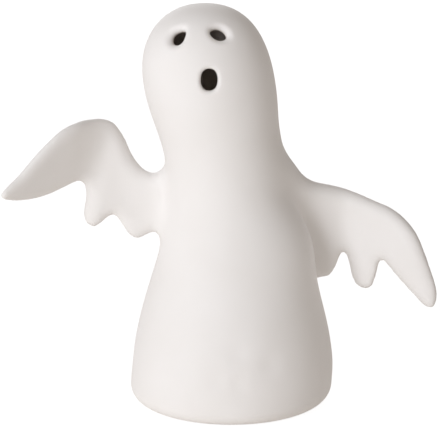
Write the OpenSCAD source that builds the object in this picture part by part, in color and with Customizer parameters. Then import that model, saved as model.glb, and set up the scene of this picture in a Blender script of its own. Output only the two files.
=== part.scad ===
/* [Body] */
// Height of the figure from the floor to the crown
body_h = 150; // [138:1:165]
// Widest diameter of the skirt, just above the foot
base_d = 75.4; // [70:0.2:84]
// Outer diameter of the flat under the foot
foot_d = 65.2; // [60:0.2:68]
// Height of the round edge between the foot and the skirt
foot_edge_h = 8; // [5:0.5:12]
// Diameter of the neck, the narrowest part
neck_d = 42.6; // [38:0.2:47]
// How far the neck lies below the crown
neck_drop = 58; // [52:1:64]
// Diameter of the head
head_d = 48.2; // [44:0.2:54]
// How far the widest part of the head lies below the crown
head_drop = 30; // [24:1:36]
// How far the head leans towards the raised arm
head_lean = 10.3; // [0:0.1:14]
// How far below the crown the lean begins
lean_from_drop = 102; // [90:1:110]
// How far below the crown the lean is complete
lean_to_drop = 8; // [0:1:20]
// How far the skirt stands out towards the lowered arm
skirt_out = 0.8; // [0:0.1:2]
// Thickness of the fired wall
wall_t = 3.5; // [2.6:0.1:5]
// Diameter of the opening in the foot
foot_bore_d = 49; // [44:0.5:53]
// Radius of the curve where the inner wall meets the foot
foot_fillet = 5; // [2:0.5:8]

/* [Face] */
// How far the mouth's middle lies below the crown
mouth_drop = 23.6; // [19:0.2:30]
// Width of the mouth
mouth_w = 6; // [4:0.1:8]
// Height of the mouth's opening
mouth_h = 8; // [5:0.1:11]
// Turn of the mouth about the head, towards the lowered arm
mouth_turn = 2; // [-10:1:15]
// How far the eye on the side of the raised arm lies below the crown
raised_eye_drop = 9.4; // [8:0.2:14]
// Turn of that eye about the head, towards the raised arm
raised_eye_turn = 33; // [22:1:38]
// Slope of that eye's long axis
raised_eye_slope = 60; // [0:1:75]
// How far the eye on the side of the lowered arm lies below the crown
lowered_eye_drop = 8; // [7:0.2:14]
// Turn of that eye about the head, towards the lowered arm
lowered_eye_turn = 18; // [10:1:24]
// Slope of that eye's long axis
lowered_eye_slope = -24; // [-60:1:0]
// Length of an eye along its long axis
eye_w = 5.8; // [4:0.1:7]
// Width of an eye across its long axis
eye_h = 4.2; // [3:0.1:6]
// Radius of the soft edge round each opening
rim_soft = 1.5; // [0.6:0.1:1.8]

/* [Arms] */
// Reach of the raised arm from the body's axis to its tip
raised_reach = 83; // [76:1:92]
// How far the lowest drip of the raised arm lies below the crown
raised_hem_drop = 87.8; // [84:0.2:94]
// Height of the raised arm from its lowest drip to the top of its bend
raised_h = 46; // [40:0.5:52]
// How far the raised arm's root lies in front of the body's axis
raised_root_front = 1; // [-4:0.5:4]
// How far the raised arm's elbow stands back of its root
raised_back = 0.5; // [0:0.5:8]
// How far the raised hand comes forward of the elbow
raised_forward = 21; // [6:0.5:24]
// Angle by which the raised forearm turns its lower edge back
forearm_turn = 27; // [0:1:32]
// Reach of the lowered arm from the body's axis to its tip
lowered_reach = 76.2; // [70:0.2:84]
// How far the lowered arm's fingertip lies below the crown
lowered_hem_drop = 113.2; // [106:0.2:118]
// Height of the lowered arm from its fingertip to its shoulder
lowered_h = 58; // [52:0.5:62]
// How far the lowered arm's root lies in front of the body's axis
lowered_root_front = -3; // [-4:0.5:4]
// How far the lowered arm's shoulder stands back of its root
lowered_back = 6; // [0:0.5:10]
// How far the lowered hand comes forward of the shoulder
lowered_forward = 16; // [6:0.5:24]
// Thickness of an arm
arm_t = 6.8; // [5:0.1:8.5]
// Thickness of an arm where it runs into the body
arm_root_t = 10; // [8:0.5:16]

/* [Felt] */
// Thickness of the felt ring under the foot
felt_t = 0.8; // [0.5:0.1:1.5]
// Width of the felt ring
felt_w = 4.5; // [3:0.1:6]
// Distance of the felt ring from the outer edge of the foot
felt_inset = 2.6; // [2:0.1:3.5]

/* [Tealight] */
// Diameter of the tealight's cup
cup_d = 38; // [36:0.2:40]
// Height of the tealight's cup
cup_h = 17; // [15.5:0.1:19]
// Wall of the tealight's cup
cup_t = 1.2; // [0.9:0.1:1.5]
// Depth of the dish in the top of the cup
dish_h = 3.8; // [2.6:0.1:4.2]
// Height of the flame tip above the bottom of the dish
flame_h = 23.5; // [20:0.5:27]
// Diameter of the flame tip
flame_d = 10.6; // [9.6:0.1:11.4]
// Wall of the flame tip
flame_t = 0.9; // [0.6:0.1:1.2]
// Thickness of the flange under the flame tip
flame_flange_t = 1; // [0.8:0.1:1.2]
// Width of the flange under the flame tip
flame_flange_w = 1.7; // [1.2:0.1:2.4]
// Diameter of the lamp's dome
lamp_d = 5; // [4.8:0.1:5.4]
// Diameter of the lamp's flange
lamp_flange_d = 5.8; // [5.6:0.1:6]
// Height of the lamp from its flange to the top of its dome
lamp_h = 8.6; // [8:0.1:9.4]
// Diameter of a lamp lead
lead_d = 0.5; // [0.4:0.05:0.6]
// Distance between the lamp's leads
lead_pitch = 2.54; // [2.4:0.02:2.7]

/* [Battery and switch] */
// Thickness of the coin cell
cell_t = 3.2; // [2.5:0.1:3.4]
// Thickness of the base plate
plate_t = 1.6; // [1.2:0.1:1.8]
// Height of the base plate's underside above the floor
plate_z = 0.6; // [0.4:0.1:0.8]
// Width of the ring left round the coin cell for the battery door
door_margin = 1; // [0.8:0.1:1.1]
// Height of the door's bayonet lugs
lug_t = 0.8; // [0.6:0.1:0.9]
// Width of the door's bayonet lugs beyond its rim
lug_w = 1; // [0.8:0.1:1.1]
// Length of the door's bayonet lugs round its rim
lug_l = 7; // [5:0.5:8]
// Wall round the battery well
well_t = 0.9; // [0.7:0.1:1]
// Ledge of the base plate outside the battery well
well_margin = 0.5; // [0.3:0.1:1]
// Angle that the door turns to open
door_turn = 40; // [35:1:50]
// Width of the coin slot in the door
coin_slot_w = 1.8; // [1.4:0.1:2.4]
// Travel of the switch
switch_travel = 3; // [2:0.1:3.4]
// Length of the switch's knob along its travel
switch_l = 4; // [3:0.1:4.6]
// Width of the switch's knob
switch_w = 2.6; // [2:0.1:2.8]
// Width of the ledge at each side of the knob
switch_ledge = 1.1; // [0.8:0.1:1.2]
// Thickness of the rails that hold the switch
rail_t = 0.8; // [0.6:0.1:0.9]
// Ledge of the base plate outside the outer rail
rail_margin = 1.7; // [1.5:0.1:2.4]
// Thickness of the contact strips
strip_t = 0.3; // [0.2:0.05:0.4]
// Width of the contact strips
strip_w = 3; // [2:0.1:3.4]

/* [Fit] */
// Running clearance at each side of a moving piece
run_gap = 0.1; // [0.05:0.01:0.15]
// Clearance between pieces that are put together
part_gap = 0.2; // [0.1:0.02:0.3]

/* [Hidden] */

// Colours
bisque = "#EDE9E6";
felt_grey = "#B9B5AE";
cup_white = "#F2F0EA";
lens_amber = "#F3D9A4";
lamp_clear = "#F7EFC8";
steel = "#C4C6C8";
tin = "#D2CFC6";

// Facets: points round the body, round an opening and round an arm
body_sides = 48;
hole_sides = 20;
arm_sides = 16;
// Steps from one row of an arm's table to the next
arm_steps = 2;
$fn = 48;

// Half sizes and heights that several pieces share
base_r = base_d / 2;
foot_r = foot_d / 2;
neck_r = neck_d / 2;
head_r = head_d / 2;
dome_h = head_drop;
head_z = body_h - head_drop;
neck_z = body_h - neck_drop;
lean_from_z = body_h - lean_from_drop;
lean_to_z = body_h - lean_to_drop;
mouth_z = body_h - mouth_drop;
raised_eye_z = body_h - raised_eye_drop;
lowered_eye_z = body_h - lowered_eye_drop;
raised_hem_z = body_h - raised_hem_drop;
lowered_hem_z = body_h - lowered_hem_drop;
edge_top_z = felt_t + foot_edge_h;
foot_bore_r = foot_bore_d / 2;
cup_r = cup_d / 2;
flame_r = flame_d / 2;
dish_z = cup_h - dish_h;
dish_under_z = dish_z - cup_t;
post_top_z = dish_under_z - flame_flange_t;
plate_top_z = plate_z + plate_t;
plate_r = cup_r - cup_t - part_gap;
// The switch and the battery well share the width of the plate, and the cell fills the well
ledge_half_w = switch_w / 2 + switch_ledge;
switch_y = rail_margin + rail_t + run_gap + ledge_half_w - plate_r;
well_r = (plate_r - well_margin - switch_y - ledge_half_w - run_gap - rail_t - part_gap) / 2;
cell_y = plate_r - well_margin - well_r;
lug_room_r = well_r - well_t;
lug_r = lug_room_r - 2 * run_gap;
door_r = lug_r - lug_w;
cell_r = door_r - door_margin;
door_t = plate_t + run_gap / 2;
lug_top_z = plate_z + door_t + lug_t;
cell_z = plate_z + door_t + run_gap / 2;
minus_z = cell_z + cell_t;
plus_z = minus_z + strip_t + 2 * part_gap;
roof_z = plus_z + strip_t;
cell_room_r = cell_r + strip_t + 3 * part_gap;
strip_x = 2 * part_gap;
lead_bore_r = (lead_pitch + lead_d) / 2 + part_gap;
ledge_z = plate_top_z + run_gap / 2;
ledge_top_z = ledge_z + lug_t;
switch_room_l = switch_l + 2 * switch_travel;
cut_over = cup_t;

// Shape of the crown: 2 is an ellipse and more is fuller
dome_power = 2.3;
// How late the lean sets in: 1 is even
lean_power = 1.2;

// Raised arm from inside the body to the tip.
// Each row has the upper edge and then the hem, as shares of the reach and of the arm's height
raised_shares = [
    [0.14, 0.540, 0.14, 0.070],
    [0.29, 0.542, 0.32, 0.073],
    [0.35, 0.530, 0.37, 0.043],
    [0.41, 0.598, 0.415, 0.000],
    [0.45, 0.722, 0.46, 0.041],
    [0.485, 0.865, 0.528, 0.208],
    [0.535, 0.965, 0.58, 0.146],
    [0.595, 1.000, 0.622, 0.114],
    [0.645, 1.000, 0.655, 0.210],
    [0.69, 0.980, 0.643, 0.400],
    [0.735, 0.947, 0.668, 0.492],
    [0.80, 0.862, 0.74, 0.448],
    [0.87, 0.742, 0.855, 0.394],
    [0.93, 0.625, 0.93, 0.404],
    [0.98, 0.545, 0.976, 0.436],
    [0.995, 0.510, 0.995, 0.465]
];

// Lowered arm, in the same way
lowered_shares = [
    [0.10, 0.960, 0.18, 0.130],
    [0.23, 0.955, 0.34, 0.132],
    [0.29, 0.900, 0.43, 0.129],
    [0.35, 0.832, 0.487, 0.157],
    [0.43, 0.774, 0.525, 0.250],
    [0.51, 0.745, 0.553, 0.308],
    [0.57, 0.722, 0.580, 0.240],
    [0.63, 0.698, 0.612, 0.116],
    [0.68, 0.676, 0.655, 0.082],
    [0.73, 0.651, 0.698, 0.122],
    [0.78, 0.620, 0.712, 0.230],
    [0.83, 0.578, 0.738, 0.284],
    [0.885, 0.502, 0.800, 0.202],
    [0.925, 0.405, 0.870, 0.103],
    [0.958, 0.300, 0.925, 0.028],
    [0.987, 0.185, 0.965, 0.000],
    [0.999, 0.095, 0.987, 0.015]
];

// Where along its reach an arm's root ends, and where its hand begins to taper
root_end_share = 0.52;
hand_start_share = 0.75;
// Thickness of the fingertip
tip_share = 0.7;
// How square an arm's section is: 1 is an ellipse and less is squarer
section_power = 0.62;
// Where along its reach an arm starts back and over what share, then the same for starting forward
raised_bend_shares = [0.3, 0.3, 0.47, 0.7];
lowered_bend_shares = [0.28, 0.3, 0.5, 0.6];
// Fold of the raised sleeve: a place on the fold, its angle, and half the width over which it turns
fold_shares = [0.6, 1];
fold_angle = 15;
fold_w = 6;
// Middle line of the raised forearm: a place on it, and the angle across it
forearm_shares = [0.6, 0.75];
across_angle = 47;
// How far up the eyes look, in degrees, and how much one of them narrows inwards
eye_tilt = 28;
eye_narrow_share = 0.42;

// Smooth step from 0 to 1 as t goes from 0 to 1
function smooth(t) = (1 - cos(180 * min(1, max(0, t)))) / 2;

// Value a share t of the way from a to b
function mix(a, b, t) = a + (b - a) * t;

// Point on the smooth curve through four values, between the middle two
function through(a, b, c, d, t) =
    b + (t * (c - a) + t * t * (2 * a - 5 * b + 4 * c - d) + t * t * t * (3 * b - a - 3 * c + d)) / 2;

// Rows of a table with smooth rows added between them
function refined(rows, steps) =
    let (last = len(rows) - 1)
    [
        for (i = [0 : last - 1])
            for (k = [0 : steps - 1])
                through(rows[max(0, i - 1)], rows[i], rows[i + 1], rows[min(last, i + 2)], k / steps),
        rows[last]
    ];

// Sideways place of the body's axis at a height
function axis_x(z) =
    skirt_out * smooth((z - felt_t) / (3 * foot_edge_h))
    - head_lean * smooth(pow(max(0, z - lean_from_z) / (lean_to_z - lean_from_z), lean_power));

// Radius of the foot's round edge, the skirt and the neck at a height
function edge_r(z) = base_r - (base_r - foot_r) * (1 - sqrt(1 - pow((edge_top_z - z) / foot_edge_h, 2)));
function skirt_r(z) = mix(base_r, neck_r, smooth((z - edge_top_z) / (neck_z - edge_top_z)));
function throat_r(z) = mix(neck_r, head_r, smooth((z - neck_z) / (head_z - neck_z)));
function dome_r(z) = head_r * pow(1 - pow((z - head_z) / dome_h, dome_power), 1 / dome_power);
function body_r(z) =
    z < edge_top_z ? edge_r(z) : z < neck_z ? skirt_r(z) : z < head_z ? throat_r(z) : dome_r(z);

// Ring of points round the body's axis
function ring(r, z) = [
    for (i = [0 : body_sides - 1])
        let (a = 360 * i / body_sides)
        [axis_x(z) + r * cos(a), r * sin(a), z]
];

// Rings of the crown, for the outer skin or, with an inset, for the inner skin
function crown_rings(inset, steps) = [
    for (i = [0 : steps - 1])
        let (a = 90 * i / steps, p = 2 / dome_power)
        ring((head_r - inset) * pow(cos(a), p), head_z + (dome_h - inset) * pow(sin(a), p))
];

// Rings of the outer skin from the foot to the crown
edge_steps = 5;
skirt_steps = 14;
throat_steps = 5;
dome_steps = 10;
function outer_rings() = [
    for (i = [0 : edge_steps - 1])
        let (z = edge_top_z - foot_edge_h * cos(90 * i / edge_steps))
        ring(edge_r(z), z),
    for (i = [0 : skirt_steps - 1])
        let (z = mix(edge_top_z, neck_z, i / skirt_steps))
        ring(skirt_r(z), z),
    for (i = [0 : throat_steps - 1])
        let (z = mix(neck_z, head_z, i / throat_steps))
        ring(throat_r(z), z),
    each crown_rings(0, dome_steps)
];

// Rings of the inner skin from the foot to the crown
fillet_steps = 3;
function inner_rings() =
    let (floor_z = felt_t + wall_t, turn_z = floor_z + foot_fillet)
    [
        ring(foot_bore_r, felt_t),
        ring(foot_bore_r, floor_z),
        for (i = [0 : fillet_steps - 1])
            let (a = 90 * i / fillet_steps, z = turn_z - foot_fillet * cos(a))
            ring(skirt_r(turn_z) - wall_t - foot_fillet * (1 - sin(a)), z),
        for (i = [0 : skirt_steps - 1])
            let (z = mix(turn_z, neck_z, i / skirt_steps))
            ring(skirt_r(z) - wall_t, z),
        for (i = [0 : throat_steps - 1])
            let (z = mix(neck_z, head_z, i / throat_steps))
            ring(throat_r(z) - wall_t, z),
        each crown_rings(wall_t, dome_steps)
    ];

function backwards(list) = [for (i = [len(list) - 1 : -1 : 0]) list[i]];

// Closed skin through rings of equal length, drawn to a point at each end
module skin(start, rings, finish) {
    n = len(rings[0]);
    last = 1 + (len(rings) - 1) * n;
    points = [start, for (r = rings) each r, finish];
    polyhedron(
        points = points,
        faces = [
            for (j = [0 : n - 1]) [0, 1 + j, 1 + (j + 1) % n],
            for (i = [0 : len(rings) - 2])
                for (j = [0 : n - 1])
                    let (a = 1 + i * n + j, b = 1 + i * n + (j + 1) % n)
                    each [[a, a + n, b], [b, a + n, b + n]],
            for (j = [0 : n - 1]) [last + j, len(points) - 1, last + (j + 1) % n]
        ],
        convexity = 8
    );
}

// The body as a filled form, which the arms are cut to
module body_form() {
    skin([axis_x(felt_t), 0, felt_t], outer_rings(), [axis_x(body_h), 0, body_h]);
}

// The hollow body with the open foot, from the inner crown down and up the outer wall
module body_hollow() {
    skin(
        [axis_x(body_h - wall_t), 0, body_h - wall_t],
        concat(backwards(inner_rings()), outer_rings()),
        [axis_x(body_h), 0, body_h]
    );
}

// Places its children on the head's skin, facing out
module on_head(z, turn, tilt) {
    translate([axis_x(z) + body_r(z) * sin(turn), -body_r(z) * cos(turn), z])
        rotate([-tilt, 0, turn])
            children();
}

// Ring of an opening's outline at a depth in the wall, grown by an amount.
// The outline is an ellipse that narrows to one side
function hole_ring(w, h, narrow, slope, grow, y) = [
    for (i = [0 : hole_sides - 1])
        let (a = 360 * i / hole_sides)
        let (u = (w / 2 + grow) * cos(a), v = (h / 2 + grow) * sin(a) * (1 - narrow * cos(a)))
        [u * cos(slope) - v * sin(slope), y, u * sin(slope) + v * cos(slope)]
];

// Cutter for an opening with a round outer edge
module hole_cutter(w, h, narrow, slope) {
    reach = 3 * wall_t;
    skin(
        [0, reach, 0],
        [
            hole_ring(w, h, narrow, slope, 0, reach),
            for (a = [0 : 30 : 60])
                hole_ring(w, h, narrow, slope, rim_soft * (1 - cos(a)), rim_soft * (1 - sin(a))),
            hole_ring(w, h, narrow, slope, rim_soft, 0),
            hole_ring(w, h, narrow, slope, reach, -reach)
        ],
        [0, -reach, 0]
    );
}

module body_shell() {
    color(bisque) difference() {
        body_hollow();
        on_head(mouth_z, mouth_turn, 0)
            hole_cutter(mouth_w, mouth_h, 0, 0);
        on_head(raised_eye_z, -raised_eye_turn, eye_tilt)
            hole_cutter(eye_w, eye_h, eye_narrow_share, raised_eye_slope);
        on_head(lowered_eye_z, lowered_eye_turn, eye_tilt)
            hole_cutter(eye_w, eye_h, 0, lowered_eye_slope);
    }
}

// Half the thickness of an arm at a share of its reach
function arm_half_t(s) =
    mix(arm_root_t, arm_t, smooth(s / root_end_share)) / 2
    * mix(1, tip_share, smooth((s - hand_start_share) / (1 - hand_start_share)));

// How far a place on an arm lies beyond a line, where the angle across the line turns up from the reach.
// The place and the line's start are shares of the reach and of the arm's height
function beyond(place, start, angle, reach, h) =
    cos(angle) * reach * (place[0] - start[0]) + sin(angle) * h * (place[1] - start[1]);

// Depth of an arm's middle at a place
function arm_y(place, reach, h, root_front, back, forward, bend, turn) =
    let (
        across = beyond(place, forearm_shares, across_angle, reach, h),
        folded = beyond(place, fold_shares, fold_angle, reach, h)
    )
    back * smooth((place[0] - bend[0]) / bend[1])
    - forward * smooth((place[0] - bend[2]) / bend[3])
    - tan(turn) * across * smooth((folded + fold_w) / (2 * fold_w))
    - root_front;

// Section of an arm between a point of its upper edge and a point of its hem.
// Along the section, it goes down the front and up the back
function arm_section(row, side, reach, hem_z, h, root_front, back, forward, bend, turn) = [
    for (i = [0 : arm_sides - 1])
        let (a = side * 360 * i / arm_sides, t = (1 - cos(a)) / 2)
        let (place = [mix(row[0], row[2], t), mix(row[1], row[3], t)])
        let (swell = sign(sin(a)) * pow(abs(sin(a)), section_power))
        [
            side * reach * place[0],
            arm_y(place, reach, h, root_front, back, forward, bend, turn) - arm_half_t(place[0]) * swell,
            hem_z + h * place[1]
        ]
];

// One arm, cut to the body
module arm(shares, side, reach, hem_z, h, root_front, back, forward, bend, turn) {
    rows = refined(shares, arm_steps);
    sections = [
        for (row = rows) arm_section(row, side, reach, hem_z, h, root_front, back, forward, bend, turn)
    ];
    count = len(sections);
    difference() {
        skin(middle(sections[0]), sections, middle(sections[count - 1]));
        body_form();
    }
}

// Middle of a ring of points
function total(list, i = 0) = i == len(list) - 1 ? list[i] : list[i] + total(list, i + 1);
function middle(list) = total(list) / len(list);

module raised_arm() {
    color(bisque) arm(
        raised_shares, -1, raised_reach, raised_hem_z, raised_h,
        raised_root_front, raised_back, raised_forward, raised_bend_shares, forearm_turn
    );
}

module lowered_arm() {
    color(bisque) arm(
        lowered_shares, 1, lowered_reach, lowered_hem_z, lowered_h,
        lowered_root_front, lowered_back, lowered_forward, lowered_bend_shares, 0
    );
}

module foot_felt_ring() {
    outer = foot_r - felt_inset;
    color(felt_grey) difference() {
        cylinder(r = outer, h = felt_t);
        translate([0, 0, -cut_over])
            cylinder(r = outer - felt_w, h = felt_t + 2 * cut_over);
    }
}

// Cup of the tealight: a wall with a round rim, dished towards the flame tip
module tealight_cup() {
    hole_r = flame_r + part_gap;
    rim_r = cup_r - cup_t;
    rim_z = cup_h - cup_t;
    shoulder_r = flame_r + 2 * cup_t;
    color(cup_white) rotate_extrude() polygon([
        [rim_r, 0],
        [cup_r, 0],
        [cup_r, rim_z],
        for (a = [20 : 20 : 160])
            [cup_r - cup_t * (1 - cos(a)) / 2, rim_z + cup_t * sin(a)],
        for (t = [0 : 0.2 : 1])
            [mix(rim_r, shoulder_r, t), mix(rim_z, dish_z, smooth(t))],
        [hole_r, dish_z],
        [hole_r, dish_under_z],
        for (t = [1 : -0.2 : 0])
            [mix(rim_r, shoulder_r, t), mix(rim_z - 1.5 * cup_t, dish_under_z, smooth(t))]
    ]);
}

// Radius of the flame tip's outside at a share of its height
flame_belly_share = 0.3;
flame_waist_share = 0.1;
function flame_at(t) = flame_r * (
    t < flame_belly_share
    ? 1 - flame_waist_share * smooth(1 - t / flame_belly_share)
    : pow(cos(90 * (t - flame_belly_share) / (1 - flame_belly_share)), 0.75)
);

// Hollow flame tip with the flange that holds it under the cup's dish
module flame_lens() {
    steps = 16;
    inner_h = flame_h - 2 * flame_t;
    flange_r = flame_r + flame_flange_w;
    color(lens_amber) rotate_extrude() polygon([
        [flame_at(0) - flame_t, post_top_z + run_gap],
        [flange_r, post_top_z + run_gap],
        [flange_r, dish_under_z],
        [flame_at(0), dish_under_z],
        for (i = [0 : steps])
            [flame_at(i / steps), dish_z + flame_h * i / steps],
        [0, dish_z + inner_h],
        for (i = [steps - 1 : -1 : 0])
            if (flame_at(i / steps) > flame_t)
                [flame_at(i / steps) - flame_t, dish_z + inner_h * i / steps]
    ]);
}

// Lamp with its flange on the post
module led_lamp() {
    lamp_r = lamp_d / 2;
    dome_z = post_top_z + lamp_h - lamp_r;
    color(lamp_clear) rotate_extrude() polygon([
        [0, post_top_z],
        [lamp_flange_d / 2, post_top_z],
        [lamp_flange_d / 2, post_top_z + flame_flange_t],
        [lamp_r, post_top_z + flame_flange_t],
        for (a = [0 : 10 : 90])
            [lamp_r * cos(a), dome_z + lamp_r * sin(a)]
    ]);
}

// Box between two corners
module slab(low, high) {
    translate(low)
        cube(high - low);
}

// The lamp's two leads, one to each contact
module led_leads() {
    for (lead = [[-1, minus_z + strip_t], [1, roof_z]])
        color(tin)
            translate([lead[0] * lead_pitch / 2, 0, lead[1]])
                cylinder(d = lead_d, h = post_top_z - lead[1]);
}

// Leaf on the upper face of the coin cell
module contact_minus() {
    color(steel) slab(
        [-strip_x - strip_w, -strip_w / 2, minus_z],
        [-strip_x, cell_y, minus_z + strip_t]
    );
}

// Clip on the rim of the coin cell, with a tail to the switch
module contact_plus() {
    half_w = strip_w / 2;
    color(steel) {
        slab([strip_x, switch_y, plus_z], [strip_x + strip_w, cell_y + half_w, roof_z]);
        slab([strip_x, cell_y - half_w, plus_z], [cell_r + strip_t, cell_y + half_w, roof_z]);
        slab(
            [cell_r, cell_y - half_w, lug_top_z + part_gap],
            [cell_r + strip_t, cell_y + half_w, roof_z]
        );
        slab(
            [strip_x, switch_y, ledge_top_z + run_gap],
            [strip_x + strip_w, switch_y + strip_t, roof_z]
        );
    }
}

module coin_cell() {
    color(steel)
        translate([0, cell_y, cell_z])
            cylinder(r = cell_r, h = cell_t);
}

// The two lugs of the battery door, grown by a clearance
module door_lugs(grow, z, h) {
    intersection() {
        translate([0, 0, z])
            difference() {
                cylinder(r = lug_r + grow, h = h);
                translate([0, 0, -cut_over])
                    cylinder(r = cell_r + part_gap, h = h + 2 * cut_over);
            }
        slab([-2 * lug_r, -lug_l / 2 - grow, z - cut_over], [2 * lug_r, lug_l / 2 + grow, z + h + cut_over]);
    }
}

// Round door under the coin cell, with a slot for a coin
module battery_door() {
    slot_l = door_r;
    slot_depth = door_t / 2;
    color(cup_white)
        translate([0, cell_y, 0])
            difference() {
                union() {
                    translate([0, 0, plate_z])
                        cylinder(r = door_r, h = door_t);
                    door_lugs(0, plate_z + door_t, lug_t);
                }
                slab(
                    [-slot_l / 2, -coin_slot_w / 2, plate_z - cut_over],
                    [slot_l / 2, coin_slot_w / 2, plate_z + slot_depth]
                );
            }
}

// Rails at both sides of the switch, which lap over its ledges
module switch_rails() {
    inner = ledge_half_w + run_gap;
    for (side = [-1, 1])
        translate([0, switch_y, 0])
            scale([1, side, 1]) {
                slab(
                    [-switch_room_l / 2, inner, plate_top_z],
                    [switch_room_l / 2, inner + rail_t, ledge_top_z + run_gap + rail_t]
                );
                slab(
                    [-switch_room_l / 2, inner - switch_ledge / 2, ledge_top_z + run_gap],
                    [switch_room_l / 2, inner + rail_t, ledge_top_z + run_gap + rail_t]
                );
            }
}

// Knob and ledges of the switch, at the off end of its travel
module switch_slider() {
    knob_half_l = switch_l / 2;
    ledge_half_l = (switch_l + switch_travel) / 2;
    color(felt_grey)
        translate([-switch_travel / 2, switch_y, 0]) {
            slab([-knob_half_l, -switch_w / 2, plate_z / 2], [knob_half_l, switch_w / 2, ledge_top_z]);
            slab([-ledge_half_l, -ledge_half_w, ledge_z], [ledge_half_l, ledge_half_w, ledge_top_z]);
        }
}

// Base plate of the tealight with the battery well, the switch rails and the lamp post
module tealight_chassis() {
    slot_half_l = (switch_l + switch_travel) / 2 + run_gap;
    slot_half_w = switch_w / 2 + run_gap;
    color(cup_white) difference() {
        union() {
            translate([0, 0, plate_z])
                cylinder(r = plate_r, h = plate_t);
            translate([0, cell_y, plate_z])
                cylinder(r = well_r, h = roof_z + cup_t - plate_z);
            translate([0, 0, roof_z])
                cylinder(r = lead_bore_r + cup_t, h = post_top_z - roof_z);
            switch_rails();
        }
        // Way through for the door and, at its open angle, for its lugs
        translate([0, cell_y, plate_z - cut_over])
            cylinder(r = door_r + run_gap, h = plate_t + 2 * cut_over);
        translate([0, cell_y, 0])
            rotate(door_turn)
                door_lugs(run_gap, plate_z - cut_over, plate_t + 2 * cut_over);
        // Room for the lugs to turn, and for the coin cell
        translate([0, cell_y, plate_top_z])
            cylinder(r = lug_room_r, h = lug_top_z + run_gap - plate_top_z);
        translate([0, cell_y, plate_top_z])
            cylinder(r = cell_room_r, h = roof_z - plate_top_z);
        // Bore for the lamp's leads
        translate([0, 0, plus_z])
            cylinder(r = lead_bore_r, h = post_top_z + cut_over - plus_z);
        // Slot for the switch's knob, and the way out for the plus contact's tail
        slab(
            [-slot_half_l, switch_y - slot_half_w, plate_z - cut_over],
            [slot_half_l, switch_y + slot_half_w, plate_top_z + cut_over]
        );
        slab(
            [strip_x - part_gap, switch_y, plus_z - part_gap],
            [strip_x + strip_w + part_gap, 0, roof_z]
        );
    }
}

body_shell();
raised_arm();
lowered_arm();
foot_felt_ring();
tealight_cup();
tealight_chassis();
flame_lens();
led_lamp();
led_leads();
contact_minus();
contact_plus();
coin_cell();
battery_door();
switch_slider();
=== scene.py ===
"""Ceramic ghost figure over a battery tealight: the looks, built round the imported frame."""

import logging
import math
from dataclasses import dataclass, field
from enum import Enum
from typing import Callable, Sequence

import bpy
import numpy as np
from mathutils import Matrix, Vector


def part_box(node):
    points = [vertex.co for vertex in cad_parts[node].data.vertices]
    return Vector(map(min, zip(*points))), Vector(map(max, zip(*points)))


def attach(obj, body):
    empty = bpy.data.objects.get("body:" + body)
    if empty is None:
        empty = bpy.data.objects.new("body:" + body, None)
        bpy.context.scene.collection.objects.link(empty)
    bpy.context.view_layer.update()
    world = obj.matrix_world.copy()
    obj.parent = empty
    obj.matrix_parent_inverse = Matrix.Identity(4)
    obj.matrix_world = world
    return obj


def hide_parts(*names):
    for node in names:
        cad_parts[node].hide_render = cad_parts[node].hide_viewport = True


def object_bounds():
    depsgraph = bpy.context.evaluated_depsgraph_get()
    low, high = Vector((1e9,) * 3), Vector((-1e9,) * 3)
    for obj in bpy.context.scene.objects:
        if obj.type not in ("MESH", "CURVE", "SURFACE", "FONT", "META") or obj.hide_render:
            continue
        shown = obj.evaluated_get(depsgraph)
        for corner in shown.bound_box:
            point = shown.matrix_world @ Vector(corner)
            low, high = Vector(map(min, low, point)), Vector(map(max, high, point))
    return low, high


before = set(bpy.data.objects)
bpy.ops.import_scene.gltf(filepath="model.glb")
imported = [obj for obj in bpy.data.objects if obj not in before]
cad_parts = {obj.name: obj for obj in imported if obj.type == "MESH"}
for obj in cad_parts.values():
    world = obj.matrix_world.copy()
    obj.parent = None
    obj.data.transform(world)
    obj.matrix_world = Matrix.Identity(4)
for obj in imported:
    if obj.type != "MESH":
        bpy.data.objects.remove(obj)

CAD_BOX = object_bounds()

MM = 0.001
TINY = 1e-6
OUTLINE_STEPS = 6
# Name of the mesh attribute that marks the hollow's inner walls for their painted shade.
INSIDE_SHADE_MARK = "inside"
Array = np.ndarray
Number = Array | float
Pair = tuple[float, float]
Point = tuple[float, float, float]
Faces = Sequence[Sequence[int]] | Array
DistanceField = Callable[[Array, Array, Array], Array]
LOG = logging.getLogger("ghost")


class Body(str, Enum):
    """Names of the moving bodies that new pieces ride on."""

    GHOST = "ghost"
    LIGHT = "light"


class Slot(str, Enum):
    """Names of the record's material slots."""

    BISQUE = "bisque"
    FELT = "felt"
    CUP = "cup_plastic"
    FLAME = "flame_silicone"
    LAMP = "lamp_resin"
    WIRE = "tinned_wire"
    CONTACT = "contact_steel"
    CELL = "cell_steel"
    SWITCH = "switch_plastic"


# Plain mathematics of smooth forms


def smooth_step(t: Number) -> Number:
    """Cosine step from 0 to 1 as t goes from 0 to 1."""
    return (1 - np.cos(np.pi * np.clip(t, 0, 1))) / 2


def mix(a: Number, b: Number, t: Number) -> Number:
    """Value a share t of the way from a to b."""
    return a + (b - a) * t


def fade_in(x: Number, span: Pair) -> Number:
    """Smooth rise from nought before a span to one after it."""
    return smooth_step((x - span[0]) / (span[1] - span[0]))


def fade_out(x: Number, span: Pair) -> Number:
    """Smooth fall from one before a span to nought after it."""
    return 1 - fade_in(x, span)


def soft_union(a: Array, b: Array, width: Number) -> Array:
    """Union of two distance fields with a soft fillet.

    Args:
        a: First field.
        b: Second field.
        width: How far apart the fields may be and still blend.

    Returns:
        The blended field.
    """
    near = np.maximum(width - np.abs(a - b), 0) / width
    return np.minimum(a, b) - near**3 * width / 6


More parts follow.
